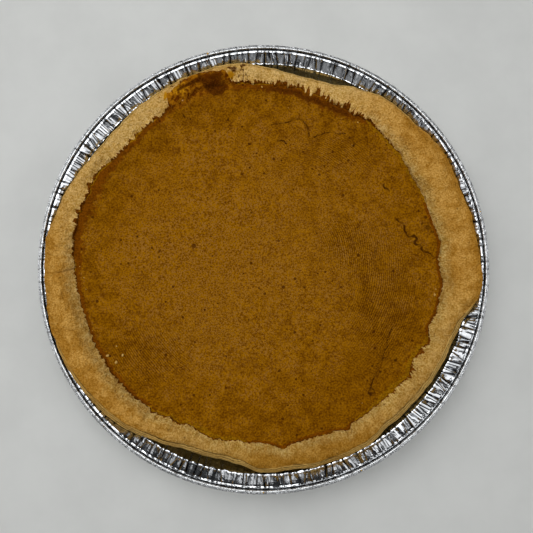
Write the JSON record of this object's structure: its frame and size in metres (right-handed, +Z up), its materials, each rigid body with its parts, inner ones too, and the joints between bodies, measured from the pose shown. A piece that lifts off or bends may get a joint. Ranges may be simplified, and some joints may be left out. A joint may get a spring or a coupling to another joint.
{
  "type": "pumpkin pie",
  "caption": "Whole baked pumpkin pie in a round foil tin: an uneven pastry case, shrunk off the tin in places, holds a flat custard filling.",
  "frame": {"origin": "middle of the tin's base, on the surface that the tin stands on", "axes": "+Z up out of the pie; +X to the right and +Y away, seen from above with the widest flap of pastry at the right"},
  "size_m": [0.2438, 0.2438, 0.0317],
  "materials": {
    "foil": "bright, wrinkled foil",
    "pastry": "baked shortcrust pastry, matt, golden to brown",
    "custard": "baked pumpkin custard, satin"
  },
  "bodies": {
    "root": {"foil_tin": "foil", "pastry_case": "pastry", "custard_filling": "custard"}
  },
  "joints": []
}
